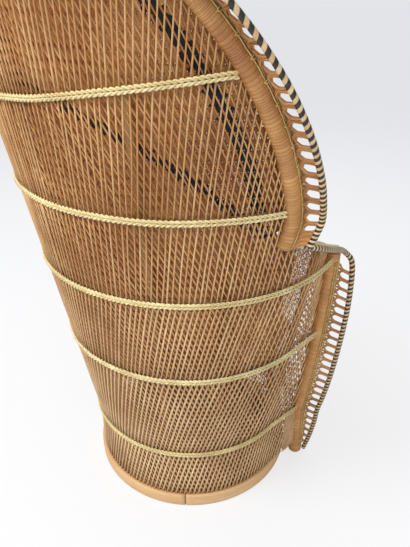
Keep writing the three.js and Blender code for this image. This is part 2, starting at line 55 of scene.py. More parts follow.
print("nodes in the frame:", len(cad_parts), "- the round body stands about y =", round(AXIS_Y, 4))

# %% [markdown]
# ## The camera
# The picture looks down from close behind the chair's right shoulder. A camera could be moved by hand until
# it looks right. Here it was fitted to the hoops, because arcs about one axis leave little to guess.

# %% Camera
CAMERA_PLACE = (-0.918, AXIS_Y + 0.770, 1.198)
CAMERA_LOOK = (0.6555, -0.5841, -0.4787)
LENS_PIXELS = 530.0
PICTURE_LONG_SIDE = 547.0


def add_to_scene(name, data):
    made = bpy.data.objects.new(name, data)
    bpy.context.scene.collection.objects.link(made)
    return made


def aim(item, place, look):
    """Sets a camera or a lamp at a place, looking one way and standing upright."""
    side = np.cross(look, (0, 0, 1))
    side /= np.linalg.norm(side)
    upright = np.cross(side, look)
    for row in range(3):
        item.matrix_world[row][:] = (side[row], upright[row], -look[row], place[row])


data = bpy.data.cameras.new("photo_camera")
data.sensor_width = 36.0
data.lens = data.sensor_width * LENS_PIXELS / PICTURE_LONG_SIDE
camera = add_to_scene("photo_camera", data)
aim(camera, CAMERA_PLACE, CAMERA_LOOK)
bpy.context.scene.camera = camera
print("camera lens", round(data.lens, 2), "mm")

# %% [markdown]
# ## The shape of the body
# The body is a barrel at the foot and a cone above, with the arms' front edges drawn out of the round. A
# place on it is an angle from the middle of the back, a height, and a distance outside the skin. Places could
# be read off the solids, but formulas are smoother.

# %% Body surface
SKIN_FOOT = 0.2595
FOOT_TOP, FOOT_SLOPE, CONE_SLOPE = 0.175, 0.012, 0.172
HOOPS = (0.183, 0.451, 0.664, 0.848, 1.033)
TOP_HOOP_LIFT, LIFT_POWER, LIFT_SHORT = 0.055, 1.2, 4.0
ARM_FOOT_ANGLE, ARM_TOP_ANGLE, ARM_REAR_ANGLE = 125.0, 114.0, 78.0
ARM_FRONT_Z, ARM_REAR_Z = 0.688, 0.790
ARM_FLARE, FLARE_FROM = 0.048, 95.0
FAN_WIDE_ANGLE, FAN_END_ANGLE = 79.0, 77.5
FAN_WIDE_Z, FAN_TOP_Z, FAN_END_Z = 0.830, 1.390, 0.775
FAN_SIDE_POWER, FAN_TOP_POWER = 2 / 1.9, 2 / 1.3
SEAT_Z, SEAT_RADIUS, SEAT_TUBE = 0.400, 0.236, 0.013
SKIN_START, LINING_START = 0.0369, 0.4159
LINING_PART = 0.650  # height from which the lining follows the fan
LOWER_GAP, LOWER_GAP_EDGE = 0.040, 0.013  # skin to lining, in the middle and at the arm rolls
FAN_GAP_MORE, FAN_GAP_EDGE = 0.025, 0.015  # in the fan: what the middle has more, and the gap at its roll
APRON_CORNER = 150.0


def lerp(low, high, share):
    return low + (high - low) * share


def share_of(value, low, high):
    return np.clip((value - low) / (high - low), 0, 1)


def smoothstep(value, low, high):
    share = share_of(value, low, high)
    return share * share * (3 - 2 * share)


def unit(vectors):
    return vectors / np.linalg.norm(vectors, axis=-1, keepdims=True)


def skin_radius(z):
    return SKIN_FOOT + FOOT_SLOPE * np.minimum(z, FOOT_TOP) + CONE_SLOPE * np.maximum(0, z - FOOT_TOP)


def arm_edge(z):
    return lerp(ARM_FOOT_ANGLE, ARM_TOP_ANGLE, z / ARM_FRONT_Z)


def flare(angle, z):
    share = share_of(np.abs(angle), FLARE_FROM, arm_edge(z))
    return ARM_FLARE * np.maximum(0, 1 - (z / ARM_FRONT_Z) ** 2) * share**2


def round_the_axis(angle, z, radius):
    angle, z, radius = np.broadcast_arrays(np.asarray(angle, float), z, radius)
    turn = np.radians(angle)
    return np.stack([radius * np.sin(turn), AXIS_Y + radius * np.cos(turn), z], axis=-1)


def on_skin(angle, z, out=0.0):
    return round_the_axis(angle, z, skin_radius(z) + flare(angle, z) + out)


def rail_height(angle):
    return lerp(ARM_REAR_Z, ARM_FRONT_Z, share_of(np.abs(angle), ARM_REAR_ANGLE, ARM_TOP_ANGLE))


def outward(points):
    flat = points - (0, AXIS_Y, 0)
    flat[..., 2] = 0
    return unit(flat)


def upward(points):
    return np.zeros_like(points) + (0, 0, 1)


theta = np.linspace(0, math.pi / 2, 240)
FAN_ANGLES = FAN_WIDE_ANGLE * np.maximum(0, np.cos(theta)) ** FAN_SIDE_POWER
FAN_HEIGHTS = FAN_WIDE_Z + (FAN_TOP_Z - FAN_WIDE_Z) * np.sin(theta) ** FAN_TOP_POWER


def fan_edge(z):
    curl = share_of(z, FAN_WIDE_Z, FAN_END_Z) ** 2
    return np.interp(z, FAN_HEIGHTS, FAN_ANGLES) - (FAN_WIDE_ANGLE - FAN_END_ANGLE) * curl


def hoop_end(level):
    """Angle at which a hoop reaches an edge roll."""
    if level < ARM_FRONT_Z:
        return float(arm_edge(level))
    return float(fan_edge(level + TOP_HOOP_LIFT if level == HOOPS[-1] else level))


def hoop_height(level, angle):
    """All hoops are level but the top one, which rises from the middle to its ends."""
    if level != HOOPS[-1]:
        return level + 0 * angle
    return level + TOP_HOOP_LIFT * np.minimum(1, np.abs(angle) / (hoop_end(level) - LIFT_SHORT)) ** LIFT_POWER


def hoop_line(level, short, out, count):
    """Points of a hoop that stops short of the edges by some degrees."""
    angles = np.linspace(-1, 1, count) * (hoop_end(level) - short)
    return on_skin(angles, hoop_height(level, angles), out)


def lining_gap(angle, z):
    """How far the lining lies inside the outer skin."""
    turn = np.abs(angle)
    seat_gap = skin_radius(LINING_START) - SEAT_RADIUS - 0.002
    middle = lerp(LOWER_GAP, seat_gap, share_of(z, LINING_PART, LINING_START))
    lower = LOWER_GAP_EDGE + (middle - LOWER_GAP_EDGE) * (1 - np.minimum(1, turn / arm_edge(z)) ** 16)
    side = np.minimum(1, turn / np.maximum(np.interp(z, FAN_HEIGHTS, FAN_ANGLES), 1)) ** 6
    rise = share_of(z, FAN_END_Z, FAN_TOP_Z) ** 6
    upper = FAN_GAP_EDGE + FAN_GAP_MORE * (1 - side * smoothstep(z, 0.660, 0.820)) * (1 - rise)
    return np.where((z <= LINING_PART) | (turn > FAN_WIDE_ANGLE), lower, upper)


def on_apron(angle, z, out=0.0):
    edge = arm_edge(z)
    share = share_of(np.abs(angle), APRON_CORNER, edge)
    radius = lerp(SKIN_FOOT, skin_radius(z) + flare(edge, z), share**2)
    return round_the_axis(angle, z, radius + out)


radii = [round(float(skin_radius(z)), 3) for z in (0, SEAT_Z, HOOPS[-1])]
print("body radius at the floor, seat and top hoop:", radii)

# %% [markdown]
# ## One helper that sweeps every strand
# Almost everything here is a thin section pulled along a line. Curves with a bevel could do that, but
# thousands of them are slow. So a bundle collects sweeps as arrays and makes one mesh. Each sweep also writes
# where a point is along and round its strand, for the finishes.

# %% Bundles of swept strands
def interp_rows(place, run, rows):
    """Rows of three values, read at given distances along a line."""
    return np.stack([np.interp(place, run, rows[:, c]) for c in range(3)], axis=-1)


def measure(path):
    """Distance along a line at each of its points."""
    return np.concatenate([[0], np.cumsum(np.linalg.norm(np.diff(path, axis=0), axis=1))])


def at_distance(path, distance):
    return interp_rows(distance, measure(path), path)


def evenly(path, spacing):
    length = measure(path)[-1]
    return at_distance(path, np.linspace(0, length, max(2, int(round(length / spacing)) + 1)))


def smooth_line(points, steps=8):
    """A soft curve through a few points (Catmull-Rom)."""
    p = np.concatenate([[2 * points[0] - points[1]], points, [2 * points[-1] - points[-2]]])
    t = np.linspace(0, 1, steps, endpoint=False)[:, None]
    made = []
    for a, b, c, d in zip(p[:-3], p[1:-2], p[2:-1], p[3:]):
        square = (2 * a - 5 * b + 4 * c - d) * t**2
        cube = (3 * b - a - 3 * c + d) * t**3
        made.append(0.5 * (2 * b + (c - a) * t + square + cube))
    return np.concatenate(made + [p[-2:-1]])


def round_section(radius, sides):
    """A circle of [outward, across] points, with its seam on the inner side."""
    turn = math.pi + np.arange(sides) / sides * 2 * math.pi
    return np.stack([radius * np.cos(turn), radius * np.sin(turn)], axis=-1)


def flat_section(wide, thick):
    u, v = thick / 2, wide / 2
    return np.array([(u, -v * 0.8), (u, v * 0.8), (-u, v), (-u, -v)])


def fill(items, label, arrays):
    values = np.concatenate(arrays).ravel()
    items.foreach_set(label, values.astype(np.float32 if values.dtype.kind == "f" else np.int32))


class Bundle:
    def __init__(self, name):
        self.name = name
        self.points, self.corners, self.sizes = [], [], []
        self.run, self.wrap, self.tint, self.slots = [], [], [], []
        self.count = 0

    def sweep(self, path, normals, section, tint=None, wraps=None, closed=False, slots=0):
        tint = rng.random() if tint is None else tint
        stations = len(path)
        section = np.broadcast_to(section, (stations,) + np.shape(section)[-2:])
        sides = section.shape[1]
        along = unit(np.roll(path, -1, 0) - np.roll(path, 1, 0) if closed else np.gradient(path, axis=0))
        up = unit(normals - along * np.sum(normals * along, axis=1, keepdims=True))
        across = np.cross(along, up)
        points = path[:, None] + section[..., :1] * up[:, None] + section[..., 1:] * across[:, None]
        run = measure(path)
        wraps = run if wraps is None else wraps
        spans = stations if closed else stations - 1
        i, k = np.meshgrid(np.arange(spans), np.arange(sides), indexing="ij")
        j, m = (i + 1) % stations, (k + 1) % sides
        quads = np.stack([i * sides + k, i * sides + m, j * sides + m, j * sides + k], axis=-1).reshape(-1, 4)
        turn = np.stack([k, k + 1, k + 1, k], axis=-1) / sides
        ends = np.append(run, run[-1] + np.linalg.norm(path[0] - path[-1]))
        wrap_ends = np.append(wraps, 2 * wraps[-1] - wraps[-2])
        for store, line in ((self.run, ends), (self.wrap, wrap_ends)):
            level = np.stack([line[i], line[i], line[i + 1], line[i + 1]], axis=-1)
            store.append(np.stack([turn, level], axis=-1).reshape(-1, 2))
        self.corners.append((quads + self.count).ravel())
        self.sizes.append(np.full(len(quads), 4))
        by_span = np.asarray(slots)[:, None] if np.ndim(slots) else slots
        self.slots.append(np.broadcast_to(by_span, (spans, sides)).ravel())
        if not closed:
            for ring, level, order in ((0, 0, -1), (stations - 1, -1, 1)):
                self.corners.append((ring * sides + np.arange(sides))[::order] + self.count)
                self.sizes.append(np.array([sides]))
                self.slots.append(np.array([np.asarray(slots).flat[level]]))
                self.run.append(np.full((sides, 2), (0.5, run[level])))
                self.wrap.append(np.full((sides, 2), (0.5, wraps[level])))
        self.points.append(points.reshape(-1, 3))
        self.tint.append(np.full(stations * sides, tint))
        self.count += stations * sides

    def make(self, materials, replaced=()):
        sizes = np.concatenate(self.sizes)
        mesh = bpy.data.meshes.new(self.name)
        mesh.vertices.add(self.count)
        fill(mesh.vertices, "co", self.points)
        mesh.loops.add(int(sizes.sum()))
        fill(mesh.loops, "vertex_index", self.corners)
        mesh.polygons.add(len(sizes))
        fill(mesh.polygons, "loop_start", [np.cumsum(sizes) - sizes])
        fill(mesh.polygons, "material_index", self.slots)
        mesh.update(calc_edges=True)
        for label, store in (("Run", self.run), ("Wrap", self.wrap)):
            fill(mesh.uv_layers.new(name=label).data, "uv", store)
        fill(mesh.attributes.new("tint", "FLOAT", "POINT").data, "value", self.tint)
        mesh.shade_smooth()
        mesh.validate()
        for material in materials:
            mesh.materials.append(material)
        piece = add_to_scene(self.name, mesh)
        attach(piece, "root")
        if replaced:
            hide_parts(*replaced)
        print(f"{self.name}: {len(self.points)} sweeps, {len(sizes)} faces, for {len(replaced)} solids")

# %% [markdown]
# ## Finishes: the shared effects
# Cane, peel and straw show fine fibres along the strand, and no two strands have the same colour. Each finish
# could build that anew, but one node group serves them all. A second group knows the turns of a wrapping: the
# groove between two, where the finishes paint shade, a tone for each, and every other one.

# %% Node helpers and groups
STRAND_ACROSS, STRAND_DEEP = 57.0, 31.0  # how far apart two strands lie in the fibre noise
NOISE_LOW, NOISE_HIGH = 0.32, 0.68


def linear(code):
    """Six hex digits as the light values that Blender works in."""
    parts = [int(code[i:i + 2], 16) / 255 for i in (0, 2, 4)]
    return tuple(c / 12.92 if c <= 0.04045 else ((c + 0.055) / 1.055) ** 2.4 for c in parts) + (1.0,)


def link(source, target):
    target.id_data.links.new(source, target)


def add_node(tree, kind, values=None, out=0, **settings):
    """Adds a node and gives one of its outputs. A value is a socket, a colour in hex digits or a number."""
    made = tree.nodes.new("ShaderNode" + kind)
    for key, value in settings.items():
        setattr(made, key, value)
    for key, value in (values or {}).items():
        if isinstance(value, bpy.types.NodeSocket):
            link(value, made.inputs[key])
        else:
            made.inputs[key].default_value = linear(value) if isinstance(value, str) else value
    return made.outputs[out]


def math_node(tree, operation, *values):
    return add_node(tree, "Math", dict(enumerate(values)), operation=operation)


def times(tree, first, second):
    return math_node(tree, "MULTIPLY", first, second)


def mix(tree, share, first, second):
    return add_node(tree, "Mix", {0: share, 6: first, 7: second}, 2, data_type="RGBA")


def mix_value(tree, share, first, second):
    return add_node(tree, "Mix", {0: share, 2: first, 3: second})


def map_range(tree, value, low, high, at_low=0.0, at_high=1.0, curve="LINEAR"):
    values = {0: value, 1: low, 2: high, 3: at_low, 4: at_high}
    return add_node(tree, "MapRange", values, interpolation_type=curve)


def noise(tree, place, scale, detail):
    return add_node(tree, "TexNoise", {"Vector": place, "Scale": scale, "Detail": detail})


def coordinate(tree, label):
    return add_node(tree, "TexCoord", out=label)


def split(tree, vector):
    return add_node(tree, "SeparateXYZ", {0: vector}).node.outputs


def split_uv(tree, label):
    return split(tree, add_node(tree, "UVMap", uv_map=label))


def new_group(name, inputs, outputs):
    tree = bpy.data.node_groups.new(name, "ShaderNodeTree")
    for label, value in inputs:
        tree.interface.new_socket(label, in_out="INPUT", socket_type="NodeSocketFloat").default_value = value
    for label in outputs:
        tree.interface.new_socket(label, in_out="OUTPUT", socket_type="NodeSocketFloat")
    return tree, tree.nodes.new("NodeGroupInput").outputs, tree.nodes.new("NodeGroupOutput").inputs


inputs = [("Along", 60.0), ("Round", 3.0), ("Patches", 7.0)]
FIBRE, given, result = new_group("cane_fibre", inputs, ["Streak", "Patch", "Strand"])
uv = split_uv(FIBRE, "Run")
strand = add_node(FIBRE, "Attribute", out="Fac", attribute_name="tint")
across = math_node(FIBRE, "MULTIPLY_ADD", strand, STRAND_ACROSS, times(FIBRE, uv[0], given["Round"]))
along = times(FIBRE, uv[1], given["Along"])
place = add_node(FIBRE, "CombineXYZ", {0: across, 1: along, 2: times(FIBRE, strand, STRAND_DEEP)})
streak = noise(FIBRE, place, 1.0, 4.0)
patch = noise(FIBRE, coordinate(FIBRE, "Object"), given["Patches"], 3.0)
link(map_range(FIBRE, streak, NOISE_LOW, NOISE_HIGH), result["Streak"])
link(map_range(FIBRE, patch, NOISE_LOW, NOISE_HIGH), result["Patch"])
link(strand, result["Strand"])

inputs = [("Lean", 1.0), ("Line", 0.16)]
WRAP, given, result = new_group("peel_wrap", inputs, ["Crown", "Turn Shade", "Every Other"])
uv = split_uv(WRAP, "Wrap")
place = math_node(WRAP, "SUBTRACT", uv[1], times(WRAP, uv[0], given["Lean"]))
inside_turn = math_node(WRAP, "PINGPONG", place, 0.5)
turn_number = math_node(WRAP, "FLOOR", place)
link(map_range(WRAP, inside_turn, 0.0, given["Line"], curve="SMOOTHSTEP"), result["Crown"])
link(add_node(WRAP, "TexWhiteNoise", {"W": turn_number}, noise_dimensions="1D"), result["Turn Shade"])
link(math_node(WRAP, "FLOORED_MODULO", turn_number, 2.0), result["Every Other"])
print("effects:", FIBRE.name, "and", WRAP.name)

# %% [markdown]
# ## Finishes: the materials
# Each finish mixes near colours by the fibre and the turn of the wrapping, and takes its gloss and a little
# relief from the same values. Old cane is satin, and the straw is duller. Picture textures would do too, but
# noise has no seams and stays sharp close by.

# %% Materials
STRAND_STREAK, WRAP_STREAK = 0.45, 0.35  # how much of the dark colour the fibres bring in
PALE_FROM, PALE_TO, PALE_SHARE = 0.25, 0.85, 0.75  # heights over which the pale colour fades out
AGED_FROM, AGED_TO, AGED_LOW = 0.75, 1.15, 0.4  # heights over which a wrapping's age comes in
# GROOVE_SHADE_SHARE: how far the groove between two turns is darkened to the line colour, as painted shade.
# CROWN_SHARE: how much of the relief comes from each turn's crown.
GROOVE_SHADE_SHARE, CROWN_SHARE = 0.5, 0.75
WORN_BLACK = "4a4038"


def start_material(name):
    material = bpy.data.materials.new(name)
    material.use_nodes = True
    tree = material.node_tree
    tree.nodes.clear()
    shader = tree.nodes.new("ShaderNodeBsdfPrincipled")
    output = tree.nodes.new("ShaderNodeOutputMaterial")
    link(shader.outputs[0], output.inputs[0])
    return material, tree, shader


def use_group(tree, group, **values):
    made = tree.nodes.new("ShaderNodeGroup")
    made.node_tree = group
    for label, value in values.items():
        made.inputs[label].default_value = value
    return made.outputs


def finish_surface(tree, shader, colour, rough, height, relief):
    link(colour, shader.inputs["Base Color"])
    low, high = rough
    link(map_range(tree, height, 0.0, 1.0, high, low), shader.inputs["Roughness"])
    bump = add_node(tree, "Bump", {"Strength": relief, "Distance": 0.0006, "Height": height})
    link(bump, shader.inputs["Normal"])


def by_height(tree, low, high, at_low, at_high):
    """A value that changes evenly between two heights of the chair."""
    return map_range(tree, split(tree, coordinate(tree, "Object"))[2], low, high, at_low, at_high)


def strand_material(name, dark, mid, light, along=55.0, rough=(0.42, 0.62), patches=7.0, pale=None, age=0.55):
    """Bare strands and poles: fibre streaks, a shade for each strand, and patches darkened by age."""
    material, tree, shader = start_material(name)
    fibre = use_group(tree, FIBRE, Along=along, Round=2.0, Patches=patches)
    by_strand = mix(tree, fibre["Strand"], mid, light)
    if pale:
        by_strand = mix(tree, by_height(tree, PALE_FROM, PALE_TO, PALE_SHARE, 0.0), by_strand, pale)
    by_age = mix(tree, times(tree, fibre["Patch"], age), by_strand, dark)
    colour = mix(tree, times(tree, fibre["Streak"], STRAND_STREAK), by_age, dark)
    finish_surface(tree, shader, colour, rough, fibre["Streak"], 0.25)
    return material


def wrap_material(name, dark, mid, light, line, rough=(0.34, 0.55), black=None, patches=9.0, age=0.4):
    """Peel wound round a core: a tone for each turn, painted shade in the groove between turns, and black
    turns if given.
    """
    material, tree, shader = start_material(name)
    fibre = use_group(tree, FIBRE, Along=420.0, Round=2.5, Patches=patches)
    wrap = use_group(tree, WRAP, Lean=2.0 if black else 1.0)
    by_turn = mix(tree, wrap["Turn Shade"], mid, light)
    streak = times(tree, fibre["Streak"], WRAP_STREAK)
    by_fibre = mix(tree, streak, by_turn, dark)
    aged = times(tree, fibre["Patch"], by_height(tree, AGED_FROM, AGED_TO, AGED_LOW, age))
    colour = mix(tree, aged, by_fibre, dark)
    if black:
        colour = mix(tree, wrap["Every Other"], colour, mix(tree, streak, black, WORN_BLACK))
    # Toward the groove between two turns the colour goes to the line colour: painted shade.
    gap = math_node(tree, "SUBTRACT", 1.0, wrap["Crown"])
    colour = mix(tree, times(tree, gap, GROOVE_SHADE_SHARE), colour, line)
    crown = times(tree, wrap["Crown"], CROWN_SHARE)
    height = math_node(tree, "MULTIPLY_ADD", fibre["Streak"], 1 - CROWN_SHARE, crown)
    finish_surface(tree, shader, colour, rough, height, 0.5)
    return material


# steam-bent wood: long grain along the band, patches of age, and pores
BENT_WOOD, tree, shader = start_material("bent_wood")
fibre = use_group(tree, FIBRE, Along=5.0, Round=30.0, Patches=5.0)
pores = use_group(tree, FIBRE, Along=60.0, Round=160.0, Patches=18.0)
grain = mix(tree, fibre["Streak"], "e6c696", "d2a871")
aged = mix(tree, times(tree, fibre["Patch"], 0.45), grain, "c0925f")
colour = mix(tree, times(tree, pores["Streak"], 0.3), aged, "a4733f")
finish_surface(tree, shader, colour, (0.45, 0.65), pores["Streak"], 0.3)
STRAND_LIT = strand_material("cane_strand_lit", "a06a32", "c9945a", "f0cb94", pale="e8cc9e")
STRAND_SHADED = strand_material("cane_strand_shaded", "965e2a", "bf854a", "eabb7c", pale="e4c492")
LACE_CANE = strand_material("cane_lace", "7c4823", "b97e46", "e2b072", along=40.0, pale="d2a873")
POLE = strand_material("cane_pole", "8a6238", "b58a55", "cfa870", along=18.0)
TWINE = strand_material(
    "straw_twine", "b0975a", "e2d097", "f3e7bb", along=90.0, rough=(0.55, 0.75), patches=16.0)
BINDING = strand_material("binding_straw", "9a8040", "c8ac62", "e2ca86", along=90.0, rough=(0.5, 0.7))
LINING_BROWN = strand_material(
    "lining_peel", "844216", "ca813f", "f5bf76", along=70.0, rough=(0.4, 0.6), patches=4.5, age=0.75)
LINING_BLACK = strand_material("lining_black", "0c0a09", "171312", "262019", along=45.0, rough=(0.35, 0.55))
# In each wrapping the fourth colour is the painted shade of the groove between turns.
HONEY_WRAP = wrap_material("peel_wrap_honey", "8f5527", "cb9454", "dcab69", "7a4a22", patches=15.0, age=1.0)
PALE_WRAP = wrap_material("peel_wrap_pale", "b79a62", "d9c18c", "ecdcb0", "7f6336")
STRIPED_WRAP = wrap_material("peel_wrap_striped", "b78f58", "d8b986", "ecd5a6", "3a2817", black="1a1716")
SEAT_PEEL = strand_material("seat_peel", "8d6134", "b98850", "d6ab70", along=35.0)
print("finishes:", len(bpy.data.materials))

# %% [markdown]
# ## The bent base band
# The chair stands on one strip of wood steamed into a hoop. A ring with a bevel would look much the same, but
# a sweep leaves a narrow gap where the ends meet, and the grain runs along it.

# %% Base band
BASE_RADIUS, BASE_THICK, BASE_HEIGHT = 0.270, 0.013, 0.034
BASE_JOINT, JOINT_GAP = -45.0, 0.25
EDGE_SOFT = 0.0022


def soft_box(thick, high, soft):
    corners = []
    for su, sv, start in ((-1, -1, 180), (1, -1, 270), (1, 1, 0), (-1, 1, 90)):
        for turn in np.radians((start, start + 45, start + 90)):
            u = su * (thick / 2 - soft) + soft * math.cos(turn)
            v = sv * (high / 2 - soft) + soft * math.sin(turn)
            corners.append((u, v))
    return np.array(corners)


band = Bundle("bent_base_band")
angles = np.linspace(BASE_JOINT + JOINT_GAP, BASE_JOINT + 360 - JOINT_GAP, 121)
path = round_the_axis(angles, BASE_HEIGHT / 2, BASE_RADIUS - BASE_THICK / 2)
band.sweep(path, outward(path), soft_box(BASE_THICK, BASE_HEIGHT, EDGE_SOFT), tint=0.5)
band.make([BENT_WOOD], ["base_hoop"])

# %% [markdown]
# ## Poles and hoops inside the skins
# Seven upright poles stand between the skins, and five thin hoops are tied to them. Plain cylinders could
# serve, but a sweep bends with the body. Cane poles have a slight ring where a leaf grew, so the radius
# swells for a moment.

# %% Poles
POLE_DEPTH, HOOP_POLE, HOOP_SHORT = -0.00816, 0.004, 4.4
POST_DEPTH, POST = -0.02148, 0.009
SIDE_POST_ANGLE, ARM_POST_ANGLE = 63.0, 104.0
ARM_POST_TOP = float(rail_height(ARM_POST_ANGLE)) - 2 * POST
POST_PAIRS = (("back", 36.0, 1.070), ("side", SIDE_POST_ANGLE, 0.735), ("arm", ARM_POST_ANGLE, ARM_POST_TOP))
RAIL = 0.008
BAR_Z, SEAT_BAR, FRONT_LEG, FRONT_LEG_ANGLE = 0.3766, 0.010, 0.010, 150.0
RING_NEAR, RING_FAR, RING_LONG, RING_SWELL = 0.19, 0.31, 0.006, 0.05


def pole(bundle, ends, radius, facing=outward):
    """A round cane pole along a line, with its rings at uneven distances."""
    path = evenly(np.asarray(ends, float), 0.012)
    run = measure(path)
    rings = np.cumsum(rng.uniform(RING_NEAR, RING_FAR, 12)) - rng.uniform(0, 0.2)
    swell = sum(np.exp(-((run - ring) / RING_LONG) ** 2) for ring in rings)
    scale = 1 + RING_SWELL * np.minimum(swell, 1)
    section = round_section(radius, 12) * scale[:, None, None]
    bundle.sweep(path, facing(path), section)


tall = Bundle("upright_poles")
posts = {"back_post_middle": (0.0, 1.140)}
for label, angle, top in POST_PAIRS:
    for side, sign in SIDES:
        posts[f"{label}_post_{side}"] = (sign * angle, top)
for angle, top in posts.values():
    pole(tall, on_skin(angle, np.array([0.001, FOOT_TOP, top]), POST_DEPTH), POST)
tall.make([POLE], posts)

hoops = Bundle("hoop_poles")
for level in HOOPS:
    pole(hoops, hoop_line(level, HOOP_SHORT, POLE_DEPTH, 90), HOOP_POLE)
hoops.make([POLE], [f"hoop_pole_{i}" for i in range(1, 6)])

seat = Bundle("seat_bars_and_legs")
for angle in (SIDE_POST_ANGLE, ARM_POST_ANGLE):
    joint = on_skin(angle, BAR_Z, POST_DEPTH)
    reach = joint[0] - POST - 0.002
    pole(seat, [(-reach, joint[1], BAR_Z), (reach, joint[1], BAR_Z)], SEAT_BAR, upward)
for _, sign in SIDES:
    foot = round_the_axis(sign * FRONT_LEG_ANGLE, 0.0, SEAT_RADIUS)
    pole(seat, [foot, foot + (0, 0, SEAT_Z - SEAT_TUBE)], FRONT_LEG)
seat.make([POLE], ["seat_bar_rear", "seat_bar_front", "front_leg_right", "front_leg_left"])

# %% [markdown]
# ## The outer skin
# Two families of strands slant opposite ways, one over the other. As the cone widens the weaver adds strands
# at each hoop, so each band between two hoops gets its own count. Copies of one strand would be simpler, but
# the edges cut each at another height.

# %% Outer skin
STRAND_LOW, STRAND_HIGH, STRAND_THICK = 0.0052, 0.0030, 0.0034
SKIN_LAYER = 0.0018
SKIN_LAYERS = ((-1, SKIN_LAYER, 0), (1, -SKIN_LAYER, 1))  # lean, depth and finish
SLANT_LOW, SLANT_HIGH = 15.0, 6.0  # degrees, the outer strands at the foot and in the fan
SLANT_INNER = 28.0  # and the strands behind them, the other way
PITCH_LOW, PITCH_HIGH = 0.0116, 0.0106
STRAY_LOW, STRAY_HIGH = 0.05, 0.13  # degrees off the even spacing
FAN_ROLL, ARM_ROLL = 0.0168, 0.0185
INTO_ROLL = 0.4  # how deep a strand runs into a roll, as a share of its radius
EDGE_DIP, DIP_OVER = 0.011, 20.0
SPREAD_FROM, SPREAD = 78.0, 0.45  # degrees, and how much wider the spacing is from there on
OPEN_FROM, OPEN_WIDE = 88.0, 15.0  # degrees, where the arms are woven finer
OPEN_LEAN = 20.0  # degrees that this stretch leans in a metre
STRAND_FINE = 0.60  # width of a strand in it, as a share
FLARE_CLOSE, FLARE_TOP = 18.0, 0.25
HEIGHT_STEP, SHORTEST, POINT_EVERY = 0.002, 0.012, 0.045


def drift(z, slant):
    """Degrees that a strand moves round the body from the floor to a height."""
    foot = np.log(skin_radius(np.minimum(z, FOOT_TOP)) / SKIN_FOOT) / FOOT_SLOPE
    cone = np.log(skin_radius(np.maximum(z, FOOT_TOP)) / skin_radius(FOOT_TOP)) / CONE_SLOPE
    return np.degrees(math.tan(slant) * (foot + cone))


def inside_rolls(angle, z, start):
    """True where the skin is bounded by the edge rolls and the armrest."""
    turn = np.abs(angle)
    radius = skin_radius(z)
    fan = turn <= fan_edge(z) - np.degrees(INTO_ROLL * FAN_ROLL / radius) * (z >= FAN_END_Z)
    arm = (turn <= arm_edge(z) - np.degrees(INTO_ROLL * ARM_ROLL / radius)) & (z <= rail_height(turn) - 0.004)
    return (z >= start) & (fan | arm)


def dipped_skin(angle, z, out=0.0):
    """The skin as it is drawn in toward the back of an arm's roll."""
    edge = arm_edge(z)
    dip = EDGE_DIP * smoothstep(z, 0.15, 0.45)
    return on_skin(angle, z, out - dip * smoothstep(np.abs(angle), edge - DIP_OVER, edge))


def in_open_weave(angle, z):
    turn = np.abs(angle) - OPEN_LEAN * (ARM_FRONT_Z - z)
    return (turn > OPEN_FROM) & (turn < OPEN_FROM + OPEN_WIDE) & (z > SEAT_Z)


def in_flare(angle, z):
    """The foot of an arm, which is drawn out of the round and woven closer."""
    return (np.abs(angle) > FLARE_FROM + FLARE_CLOSE) & (z < FLARE_TOP)


def stretches(inside):
    """First and last index of each run of true values."""
    change = np.diff(np.concatenate([[0], inside.astype(int), [0]]))
    return [(a, b - 1) for a, b in zip(np.where(change == 1)[0], np.where(change == -1)[0])]


def lay_strands(bundle, surface, inside, low, high, feet, family):
    lean, layer, slot = family
    heights = np.arange(low, high + 0.001, HEIGHT_STEP)
    middle = (low + high) / 2
    rise = smoothstep(middle, 0.45, 0.75)
    slant = math.radians(SLANT_INNER if lean > 0 else lerp(SLANT_LOW, SLANT_HIGH, rise))
    stray = lerp(STRAY_LOW, STRAY_HIGH, rise)
    turn = lean * (drift(heights, slant) - drift(middle, slant))
    bow = np.sin(math.pi * (heights - low) / (high - low))
    wide = lerp(STRAND_LOW, STRAND_HIGH, smoothstep(middle, 0.3, 0.9))
    oval = round_section(0.5, 6) * (STRAND_THICK, wide)
    for foot in feet:
        angles = foot + turn + rng.normal(0, stray) + rng.normal(0, stray) * bow
        for first, last in stretches(inside(angles, heights)):
            length = heights[last] - heights[first]
            if length < SHORTEST:
                continue
            pick = np.unique(np.linspace(first, last, 2 + int(length / POINT_EVERY)).round().astype(int))
            out = layer + rng.normal(0, 0.00015)
            path = surface(angles[pick], heights[pick], out)
            fine = np.where(in_open_weave(angles[pick], heights[pick]), STRAND_FINE, 1.0)
            section = oval * (fine * rng.uniform(0.86, 1.08))[:, None, None]
            bundle.sweep(path, outward(path), section, slots=slot)


skin = Bundle("outer_weave")
levels = (SKIN_START - 0.003,) + HOOPS + (FAN_TOP_Z,)
for low, high in zip(levels[:-1], levels[1:]):
    rise = TOP_HOOP_LIFT if high == HOOPS[-1] else 0.0

    def inside(angle, z, low=low, high=high):
        between = (z >= hoop_height(low, angle)) & (z <= hoop_height(high, angle) + 0.002)
        return between & inside_rolls(angle, z, levels[0])

    middle = (low + high) / 2
    spacing = lerp(PITCH_LOW, PITCH_HIGH, smoothstep(middle, 0.1, 0.6)) / skin_radius(middle)
    step = 360 / round(2 * math.pi / spacing)
    for family in SKIN_LAYERS:
        feet = np.arange(-150, 150, step) + rng.uniform(0, step)
        wider = SPREAD * np.maximum(0, np.abs(feet) - SPREAD_FROM) * (low >= HOOPS[0])
        places = feet + np.sign(feet) * wider
        lay_strands(skin, dipped_skin, inside, low, high + rise + 0.002, places, family)
        if low < HOOPS[0]:
            lay_strands(skin, dipped_skin, lambda a, z: inside(a, z) & in_flare(a, z),
                        low, high, feet + step / 2, family)
skin.make([STRAND_LIT, STRAND_SHADED], ["outer_weave_lower", "outer_weave_fan"])


def signed(angle):
    return np.where(angle > 180, angle - 360, angle)


